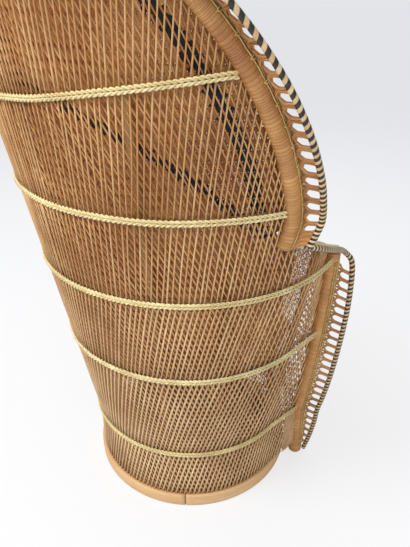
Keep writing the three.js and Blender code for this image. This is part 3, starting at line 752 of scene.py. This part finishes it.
# the panel below the seat at the front, with a cane along its two edges
apron = Bundle("front_apron_weave")
low, high = SKIN_START - 0.003, SEAT_Z - SEAT_TUBE
step = 360 / round(2 * math.pi * SKIN_FOOT / PITCH_LOW)
for family in SKIN_LAYERS:
    lay_strands(apron, lambda a, z, out: on_apron(signed(a), z, out),
                lambda a, z: np.abs(signed(a)) >= arm_edge(z) + 1.5,
                low, high, np.arange(60, 300, step), family)
for z in (low + 0.003, high - 0.004):
    edge = float(arm_edge(z)) + 2
    path = on_apron(signed(np.linspace(edge, 360 - edge, 50)), z)
    apron.sweep(path, outward(path), round_section(0.0032, 8), tint=0.5)
apron.make([STRAND_LIT, STRAND_SHADED], ["front_apron"])

# %% [markdown]
# ## The lining
# From the seat up, a second skin faces the sitter: flat red-brown peel woven over and under on the slant,
# with black peel in two arches. A sheet with a picture of weave would look flat at an angle. All crossings
# lie on common levels, where a strip rises or dips, and a stretch inside an arch is black.

# %% Lining
LINING_SLANT = math.radians(31)
LINING_STEP = 1.75
LINING_RISE = 0.0019
STRIP_SHARE = 0.97  # of the room that a strip has, so that few openings are left
STRIP_OPEN, STRIP_THICK, STRIP_SHORTEST = 0.0019, 0.0012, 0.016
OPEN_BEHIND = 5.0  # degrees that the fine weave lies further forward than in the skin
ARCH_WIDE, LOW_ARCH_WIDE = 0.013, 0.010
ARCH_INSET, ARCH_FOOT = 0.055, 0.790
LOW_ARCH_TOP, LOW_ARCH_FALL, LOW_ARCH_BEND = 1.055, 0.0012, 0.000033
FAN_HALF_LINE = on_skin(FAN_ANGLES, FAN_HEIGHTS)[::6]


def in_arches(angle, z):
    turn = np.abs(angle)
    low_arch = LOW_ARCH_TOP - LOW_ARCH_FALL * turn - LOW_ARCH_BEND * turn**2
    near_low = np.abs(z - low_arch) < LOW_ARCH_WIDE
    points = on_skin(turn, z)
    reach = np.linalg.norm(points[:, None] - FAN_HALF_LINE[None], axis=2).min(axis=1)
    near_edge = np.abs(reach - ARCH_INSET) < ARCH_WIDE
    return (near_low | near_edge) & (z > ARCH_FOOT) & (turn < FAN_WIDE_ANGLE)


def lay_strip(lining, foot, lean, low, high, levels, number):
    """One strip between two heights, which rises or dips at each level."""
    keep = (levels > low + 0.003) & (levels < high - 0.003)
    z = np.concatenate([[low], levels[keep], [high]])
    rise = lean * LINING_RISE * np.where(number[keep] % 2 == 0, 1, -1)
    angle = foot + lean * drift(z, LINING_SLANT)
    path = on_skin(angle, z, np.concatenate([[0], rise, [0]]) - lining_gap(angle, z))
    radius = np.hypot(path[:, 0], path[:, 1] - AXIS_Y)
    room = math.radians(LINING_STEP) * math.cos(LINING_SLANT) * radius
    fine = in_open_weave(np.abs(angle) - OPEN_BEHIND, z)
    wide = np.where(fine, STRIP_OPEN, STRIP_SHARE * room) * rng.uniform(0.9, 1.03)
    section = np.stack([flat_section(w, STRIP_THICK) for w in wide])
    black = in_arches((angle[1:] + angle[:-1]) / 2, (z[1:] + z[:-1]) / 2).astype(int)
    # Each strip gets its own tint, and the strips that lean one way get the darker ones: painted shade for
    # the recessed strips of the weave.
    tint = rng.uniform(0.4, 1.0) if lean > 0 else rng.uniform(0.0, 0.6)
    lining.sweep(path, outward(path), section, tint=tint, slots=black)


lining = Bundle("lining_weave")
start = LINING_START - 0.006
heights = np.arange(start, FAN_TOP_Z + 0.001, HEIGHT_STEP)
turned = drift(heights, LINING_SLANT)
number = np.arange(math.ceil(turned[0] / LINING_STEP * 2), turned[-1] / LINING_STEP * 2)
levels = np.interp(number * LINING_STEP / 2, turned, heights)
span = turned[-1] + 130
for lean in (1, -1):
    for foot in np.arange(math.floor(-span / LINING_STEP), span / LINING_STEP) * LINING_STEP:
        for first, last in stretches(inside_rolls(foot + lean * turned, heights, start)):
            if heights[last] - heights[first] >= STRIP_SHORTEST:
                lay_strip(lining, foot, lean, heights[first], heights[last], levels, number)
lining.make([LINING_BROWN, LINING_BLACK], ["lining_lower", "lining_fan"])

# %% [markdown]
# ## Twined hoops
# Where a hoop crosses the skin, straw is twined round the strands in two rows that turn opposite ways, which
# gives the little arrowheads. Relief on a strip could show them, but not in outline, so each row is two cords
# winding round each other.

# %% Twined hoops
TWINE_ROW = 0.0030
TWINE_CORD, TWINE_WIND = 0.0020, 0.0018
TWINE_TURN = 0.0190
TWINE_OUT = SKIN_LAYER + STRAND_THICK / 2 + TWINE_WIND
TWINE_SHORT = 2.5
WANDER, WANDER_EVERY = 0.0005, 0.11

for number, level in enumerate(HOOPS, 1):
    twine = Bundle(f"twined_hoop_{number}")
    line = hoop_line(level, TWINE_SHORT, TWINE_OUT, 400)
    length = measure(line)[-1]
    run = np.arange(0, length, TWINE_TURN / 6)
    centre = at_distance(line, run)
    out = outward(centre)
    bends = np.arange(0, length + WANDER_EVERY, WANDER_EVERY)
    wander = np.interp(run, bends, rng.normal(0, WANDER, len(bends)))
    for row in (1, -1):
        for half in (0, math.pi):
            turn = row * run / TWINE_TURN * 2 * math.pi + half
            path = centre + out * (TWINE_WIND * np.cos(turn))[:, None]
            path[:, 2] += row * TWINE_ROW + wander + TWINE_WIND * np.sin(turn)
            twine.sweep(path, out, round_section(TWINE_CORD, 5))
    twine.make([TWINE], [f"twined_band_{number}"])

# %% [markdown]
# ## Wrapped rolls, rims and rails
# The edges are wound with flat peel. A strip could be wound round a rod, but its inner face never shows. So
# each turn is a low ridge: the sweep's radius rises and falls once a turn. The rims are wound with black and
# natural peel in turn.

# %% Wrapped pieces
POINTS_A_TURN, RIDGE_POWER, TURN_UNEVEN, LOOSE_EVERY = 4, 2.5, 0.008, 0.03
FAN_LACE = 0.058
FAN_LACE_SIDE, FAN_LACE_TOP = 60.0, 72.0  # degrees that the lace turns out from the fan's edge
ROLL_TURN = 0.0062
RIM, RIM_THIN = 0.0065, 0.78
RIM_TURN_END, RIM_TURN_TOP = 0.0044, 0.0098
RIM_END_LIFT, RIM_LIFT_OVER = 0.020, 0.10
ROLL_WRAP = {"ridge": 0.05, "loose": 0.6}
RIM_WRAP = {"lean": 2.0, "sides": 10, "ridge": 0.07}
HONEY, STRIPED, PALE = (HONEY_WRAP, "peel_wrap"), (STRIPED_WRAP, "striped_wrap"), (PALE_WRAP, "pale_wrap")


def wound(name, node, look, line, radius, pitch, lean=1.0, sides=16, ridge=0.035, normals=None, loose=0.0):
    """Makes a wrapped rod. radius and pitch, the width of a turn, are one number or one for each point."""
    run = measure(line)
    knots = np.arange(0, run[-1] + LOOSE_EVERY, LOOSE_EVERY)
    slack = np.interp(run, knots, 1 + rng.uniform(-loose, loose, len(knots)))
    pitch = np.broadcast_to(pitch, run.shape) * slack
    middle = (1 / pitch[1:] + 1 / pitch[:-1]) / 2
    turns = np.concatenate([[0], np.cumsum(np.diff(run) * middle)])
    wraps = np.linspace(0, turns[-1], int(turns[-1] * POINTS_A_TURN) + 1)
    place = np.interp(wraps, turns, run)
    path = at_distance(line, place)
    up = outward(path) if normals is None else interp_rows(place, run, normals)
    phase = wraps[:, None] - lean * (np.arange(sides) / sides)[None]
    crown = 1 - np.abs(2 * (phase % 1) - 1) ** RIDGE_POWER
    uneven = rng.normal(0, TURN_UNEVEN, int(turns[-1]) + 4)[np.floor(phase).astype(int)]
    radius = np.interp(place, run, np.broadcast_to(radius, run.shape))
    size = radius[:, None] * (1 - ridge * (1 - crown) + uneven)
    section = round_section(1.0, sides)[None] * size[..., None]
    rod = Bundle(name)
    rod.sweep(path, up, section, wraps=wraps)
    rod.make([look[0]], [node])


# the fan's edge from the right shoulder over the top to the left, and three directions along it
share = np.linspace(1, 0, 30, endpoint=False)
curl_angles = FAN_WIDE_ANGLE - (FAN_WIDE_ANGLE - FAN_END_ANGLE) * share**2
curl_heights = FAN_WIDE_Z - (FAN_WIDE_Z - FAN_END_Z) * share
a = np.concatenate([curl_angles, FAN_ANGLES])
z = np.concatenate([curl_heights, FAN_HEIGHTS])
line = on_skin(np.concatenate([-a, a[::-1][1:]]), np.concatenate([z, z[::-1][1:]]))
fan_path = at_distance(line, np.linspace(0, measure(line)[-1], 900))
fan_out = outward(fan_path)
fan_side = unit(np.cross(unit(np.gradient(fan_path, axis=0)), fan_out))
rise = share_of(fan_path[:, 2], FAN_WIDE_Z, FAN_TOP_Z)
turn = np.radians(lerp(FAN_LACE_SIDE, FAN_LACE_TOP, rise))[:, None]
fan_lace = np.cos(turn) * fan_side + np.sin(turn) * fan_out
fan_lace_width = FAN_LACE * lerp(0.9, 1.0, smoothstep(fan_path[:, 2], FAN_END_Z - 0.020, FAN_WIDE_Z + 0.090))
fan_rim_line = fan_path + fan_lace * fan_lace_width[:, None]
fan_run = measure(fan_path)
from_end = np.minimum(fan_run, fan_run[-1] - fan_run)
fan_rim_line[:, 2] += RIM_END_LIFT * (1 - smoothstep(from_end, 0, RIM_LIFT_OVER))
rim_rise = smoothstep(fan_rim_line[:, 2], 0.800, 1.180)
rim_pitch = lerp(RIM_TURN_END, RIM_TURN_TOP, rim_rise)
rim_radius = RIM * lerp(1, RIM_THIN, rim_rise)
wound("fan_edge_roll", "fan_roll", HONEY, fan_path, FAN_ROLL, ROLL_TURN, **ROLL_WRAP)
wound("fan_striped_rim", "fan_rim", STRIPED, fan_rim_line, rim_radius, rim_pitch,
      normals=fan_lace, **RIM_WRAP)

# %% [markdown]
# ## Arms
# Each arm ends in an upright wrapped roll, and the armrest is four poles side by side, two striped and two
# pale. The outer striped rim runs on down the front as the edge of the lace. A mirror modifier could make the
# other arm, but a sign in a loop gives each side its own uneven turns.

# %% Arm edges
RAIL_STEP = 0.0149
RAIL_END_ANGLE = 81.0
RAIL_TURN, ARM_RIM_TURN = 0.0052, 0.0058
ARM_LACE = 0.057
LACE_LOW, LACE_HIGH = 0.046, 0.640
CORNER_DROP = 0.022  # below the armrest, where the rim begins to bend onto it


def arm_lace_width(z):
    middle = ARM_FRONT_Z * 0.57
    return ARM_LACE * (1 - 0.6 * (np.abs(z - middle) / middle) ** 3)


def arm_front(sign, heights, out=0.0):
    return on_skin(sign * arm_edge(heights), heights, out)


outer = 1.5 * RAIL_STEP
bend_z = ARM_FRONT_Z - CORNER_DROP
lace_heights = np.concatenate([[0.008], np.linspace(LACE_LOW, LACE_HIGH, 15)])
angles = np.linspace(ARM_TOP_ANGLE, RAIL_END_ANGLE, 60)
rim_angles = np.linspace(ARM_TOP_ANGLE, RAIL_END_ANGLE, 7)[1:]
for side, sign in SIDES:
    front = arm_front(sign, np.linspace(0.002, ARM_FRONT_Z - RAIL + 0.0018, 120))
    wound(f"arm_edge_roll_{side}", f"arm_roll_{side}", HONEY, front, ARM_ROLL, ROLL_TURN, **ROLL_WRAP)
    edge = arm_front(sign, lace_heights, arm_lace_width(lace_heights))
    corner = [
        on_skin(sign * (ARM_TOP_ANGLE + 0.5), bend_z, float(arm_lace_width(bend_z)) - 0.003),
        on_skin(sign * (ARM_TOP_ANGLE - 1.0), ARM_FRONT_Z - 0.004, outer + 0.008),
    ]
    top = on_skin(sign * rim_angles, rail_height(rim_angles), outer)
    rim = smooth_line(np.concatenate([edge, corner, top]))
    wound(f"arm_striped_rim_{side}", f"arm_rim_{side}", STRIPED, rim, RIM, ARM_RIM_TURN, **RIM_WRAP)
    for name, place, radius, look, lean in (
        ("arm_rail_outer", 0.5, RAIL, PALE, 1.0),
        ("arm_inner_rim", -0.5, RIM, STRIPED, 2.0),
        ("arm_rail_inner", -1.5, RAIL, PALE, 1.0),
    ):
        line = on_skin(sign * angles, rail_height(angles), place * RAIL_STEP)
        wound(f"{name}_wound_{side}", f"{name}_{side}", look, line, radius, RAIL_TURN, lean=lean, sides=12)

# %% [markdown]
# ## The lacy border
# This is the showpiece. Strands leave the roll in five groups: one straight, two from either side. The
# slanting groups cross those of the neighbours at the root, then all five gather into a strut, which leaves a
# row of oval openings. Ovals cut from a sheet would be easier, but the crossings would be lost.

# %% Lace
LACE_STRAND = 0.00145
FAN_LACE_PITCH, ARM_LACE_PITCH, FAN_LACE_CLOSED = 0.027, 0.0250, 0.040
ARM_LACE_DROP = 0.010  # how far an arm's struts slope down to the rim
LACE_ROOT = 26.0  # degrees round the fan's roll from the edge's direction to where the lace leaves it
LACE_REACH = np.array([0.0, 0.08, 0.16, 0.24, 0.32, 0.4, 0.5, 0.62, 0.75, 0.88, 1.0])
LACE_GROUPS = ((-0.5, 1.0), (0.5, -1.0), (-0.9, -0.4), (0.9, 0.4), (0.0, 0.0))  # slant and layer


def lace_border(bundle, root, tip, pitch, group, ends=0.0):
    """Lays struts from root to tip. group counts a group's strands, ends is how long each end is closed."""
    run = measure(root)
    length = run[-1]
    closed = np.arange(0.3 * pitch, ends, 0.3 * pitch)
    open_length = length - 2 * ends
    count = int(round(open_length / pitch))
    middles = np.concatenate([closed, ends + (np.arange(count) + 0.5) / count * open_length, length - closed])
    ahead = np.gradient(root, axis=0)
    gather = 1 - smoothstep(LACE_REACH, 0.0, 0.48)
    pack = lerp(0.86, 1.0, gather) + 0.45 * smoothstep(LACE_REACH, 0.76, 1.0)
    for middle in middles:
        for lean, layer in LACE_GROUPS:
            for k in np.arange(group) - (group - 1) / 2:
                side = lean * pitch * gather + 2 * LACE_STRAND * k * pack
                place = np.clip(middle + side + rng.normal(0, 0.0003), 0, length)
                start = interp_rows(place, run, root)
                reach = interp_rows(place, run, tip) - start
                face = unit(np.cross(reach, interp_rows(place, run, ahead)))
                lift = layer * LACE_STRAND * 1.5 + rng.normal(0, 0.0002)
                points = start + reach * LACE_REACH[:, None] + face * lift
                bundle.sweep(points, face, round_section(LACE_STRAND, 6))


fan = Bundle("fan_lace_border")
turn = math.radians(LACE_ROOT)
root = fan_path + 0.9 * FAN_ROLL * (math.cos(turn) * fan_side + math.sin(turn) * fan_out)
lace_border(fan, root, fan_rim_line - fan_lace * RIM * 0.4, FAN_LACE_PITCH, 3, ends=FAN_LACE_CLOSED)
fan.make([LACE_CANE], ["fan_lace"])
for side, sign in SIDES:
    heights = np.linspace(0.030, LACE_HIGH + 0.012, 160)
    path = arm_front(sign, heights)
    arm = Bundle(f"arm_lace_border_{side}")
    reach = arm_lace_width(heights) - RIM * 0.4
    out = outward(path)
    tip = path + reach[:, None] * out - (0, 0, ARM_LACE_DROP)
    lace_border(arm, path + 0.8 * ARM_ROLL * out, tip, ARM_LACE_PITCH, 2)
    arm.make([LACE_CANE], [f"arm_lace_{side}"])

# %% [markdown]
# ## Binding cords
# Two thin straw cords run along each roll, over the roots of the lace, tied down by a knot every few
# centimetres. A knot could be a bead, but two loops that slant past each other look tied.

# %% Binding cords
CORD_THICK = 0.0012
KNOT_EVERY, KNOT_THICK = 0.040, 0.001
FAN_CORDS, ARM_CORDS = (LACE_ROOT + 16, LACE_ROOT + 32), (28, 50)  # degrees round the roll


def bind(bundle, path, lace, out, roll, turns):
    def beside(degrees):
        angle = math.radians(degrees)
        face = unit(out - lace * np.sum(out * lace, axis=1, keepdims=True))
        return path + (roll + CORD_THICK) * (math.cos(angle) * lace + math.sin(angle) * face)

    for degrees in turns:
        line = evenly(beside(degrees), 0.012)
        line += rng.normal(0, 0.0003, line.shape)
        bundle.sweep(line, outward(line), round_section(CORD_THICK, 6))
    first, second = beside(turns[0]), beside(turns[-1])
    centre = (first + second) / 2
    run = measure(centre)
    turn = np.linspace(0, 2 * math.pi, 13)[:-1]
    for knot in np.arange(KNOT_EVERY / 2, run[-1], KNOT_EVERY) + rng.uniform(-0.012, 0.012):
        k = int(np.clip(np.searchsorted(run, knot), 1, len(run) - 2))
        wide = (second - first)[k] / 2
        ahead = unit(centre[k + 1] - centre[k - 1])
        lift = np.cross(ahead, wide)
        lift *= (CORD_THICK * 1.9) / np.linalg.norm(lift)
        wide = wide * (1 + 2.6 * CORD_THICK / np.linalg.norm(wide))
        for slip in (-1, 1):
            slide = np.sin(turn)[:, None] * ahead * 0.0018 * slip + ahead * slip * 0.0006
            loop = centre[k] + np.cos(turn)[:, None] * wide + np.sin(turn)[:, None] * lift + slide
            bundle.sweep(loop, loop - centre[k], round_section(KNOT_THICK, 5), closed=True)


fan = Bundle("fan_binding_cords")
bind(fan, fan_path, fan_side, fan_out, FAN_ROLL, FAN_CORDS)
fan.make([BINDING])
for side, sign in SIDES:
    path = arm_front(sign, np.linspace(0.030, LACE_HIGH + 0.02, 160))
    back = np.cross(outward(path), np.gradient(path, axis=0)) * -sign
    arm = Bundle(f"arm_binding_cords_{side}")
    bind(arm, path, outward(path), back, ARM_ROLL, ARM_CORDS)
    arm.make([BINDING])

# %% [markdown]
# ## The seat
# The seat is a round of close weave: stiff spokes, and a strip of peel that spirals out over one spoke and
# under the next. Separate rings could do it too, but with an odd number of spokes one strip is enough,
# because each round falls between those of the round before.

# %% Seat
SEAT_EDGE, SEAT_MIDDLE_Z, SEAT_DISH = 0.2225, 0.3945, 0.0055
SEAT_RING_TURN = 0.0064
SEAT_ZONES = ((33, 0.010, 0.092), (65, 0.092, SEAT_EDGE))  # spokes, inner and outer radius
SPOKE, SPIRAL_PITCH, SPIRAL_WIDE, SPIRAL_THICK, SPIRAL_RISE = 0.0013, 0.0058, 0.0054, 0.0012, 0.0016


def seat_height(radius):
    return SEAT_MIDDLE_Z + SEAT_DISH * (radius / SEAT_EDGE) ** 2


ring = round_the_axis(np.linspace(0, 360, 240), SEAT_Z, SEAT_RADIUS)
wound("seat_ring_wound", "seat_ring", HONEY, ring, SEAT_TUBE / 1.01, SEAT_RING_TURN, sides=14)
seat = Bundle("seat_weave")
for spokes, inner, outer in SEAT_ZONES:
    for k in range(spokes):
        radius = np.linspace(inner * 0.8, outer, 8)
        path = round_the_axis(k * 360 / spokes, seat_height(radius), radius)
        seat.sweep(path, upward(path), round_section(SPOKE, 6))
    step = np.arange(int((outer - inner) / SPIRAL_PITCH * spokes * 2))
    angle = step * 180 / spokes
    radius = inner + SPIRAL_PITCH * angle / 360
    rise = SPIRAL_RISE * np.where(step % 2 == 0, np.where(step % 4 == 0, 1, -1), 0)
    path = round_the_axis(angle, seat_height(radius) + rise, radius)
    seat.sweep(path, upward(path), flat_section(SPIRAL_WIDE, SPIRAL_THICK), tint=0.5)
seat.make([SEAT_PEEL], ["seat_panel"])

# %% [markdown]
# ## Floor and light
# A wide pale floor, and soft light from the upper left of the picture. The floor glows a little, to the
# camera alone, so that it is as pale as the photograph's. Stronger lamps would bleach the cane.

# %% Studio
FLOOR = 60.0
FLOOR_GLOW, BACKDROP_GLOW = 0.69, 0.62
UNDER_CHAIR, BESIDE_CHAIR = 0.262, 0.268  # distances from the axis where the glow sets in
GLOW_NEAR, GLOW_FAR = 0.8, 5.0

mesh = bpy.data.meshes.new("studio_floor")
corners = [(-FLOOR, -FLOOR, 0), (FLOOR, -FLOOR, 0), (FLOOR, FLOOR, 0), (-FLOOR, FLOOR, 0)]
mesh.from_pydata(corners, [], [(0, 1, 2, 3)])
material, tree, shader = start_material("studio_floor")
body = coordinate(tree, "Object")
colour = mix(tree, noise(tree, body, 2.5, 2.0), "e0e0e1", "dbdcde")
seen = add_node(tree, "LightPath", out="Is Camera Ray")
axis = add_node(tree, "CombineXYZ", {1: AXIS_Y})
away = add_node(tree, "VectorMath", {0: body, 1: axis}, "Value", operation="DISTANCE")
clear = map_range(tree, away, UNDER_CHAIR, BESIDE_CHAIR)
# Inside the base the camera sees the floor as a warm dark brown instead of pale: painted shade, warm as if
# thrown back from the cane.
camera_colour_with_painted_shade = mix(tree, clear, "8f6f50", "7c7c7d")
link(mix(tree, seen, colour, camera_colour_with_painted_shade), shader.inputs["Base Color"])
far = map_range(tree, away, GLOW_NEAR, GLOW_FAR, curve="SMOOTHSTEP")
glow = mix_value(tree, far, FLOOR_GLOW, BACKDROP_GLOW)
link(mix(tree, far, "ffffff", "f8fafe"), shader.inputs["Emission Color"])
link(times(tree, seen, times(tree, clear, glow)), shader.inputs["Emission Strength"])
shader.inputs["Roughness"].default_value = 0.7
mesh.materials.append(material)
floor = add_to_scene("studio_floor", mesh)


def make_lamp(name, place, target, size, power):
    data = bpy.data.lights.new(name, "AREA")
    data.shape = "DISK"
    data.size = size
    data.energy = power
    aim(add_to_scene(name, data), place, unit(np.subtract(target, place)))


world = bpy.data.worlds.new("studio")
world.use_nodes = True
tree = world.node_tree
background = tree.nodes["Background"]
seen = add_node(tree, "LightPath", out="Is Camera Ray")
link(mix(tree, seen, "f3f5fb", "e6e8ee"), background.inputs["Color"])
sky = map_range(tree, split(tree, coordinate(tree, "Generated"))[2], 0.0, 0.8, 0.3, 0.85)
link(mix_value(tree, seen, sky, 1.0), background.inputs["Strength"])
bpy.context.scene.world = world

make_lamp("key_light", (0.7, 2.4, 3.3), (0, 0, 0.5), 1.8, 120.0)
make_lamp("fill_light", (-2.8, 1.6, 2.6), (0, 0, 0.7), 2.5, 45.0)
bpy.context.scene.view_settings.view_transform = "Standard"
print("lamps:", len(bpy.data.lights))
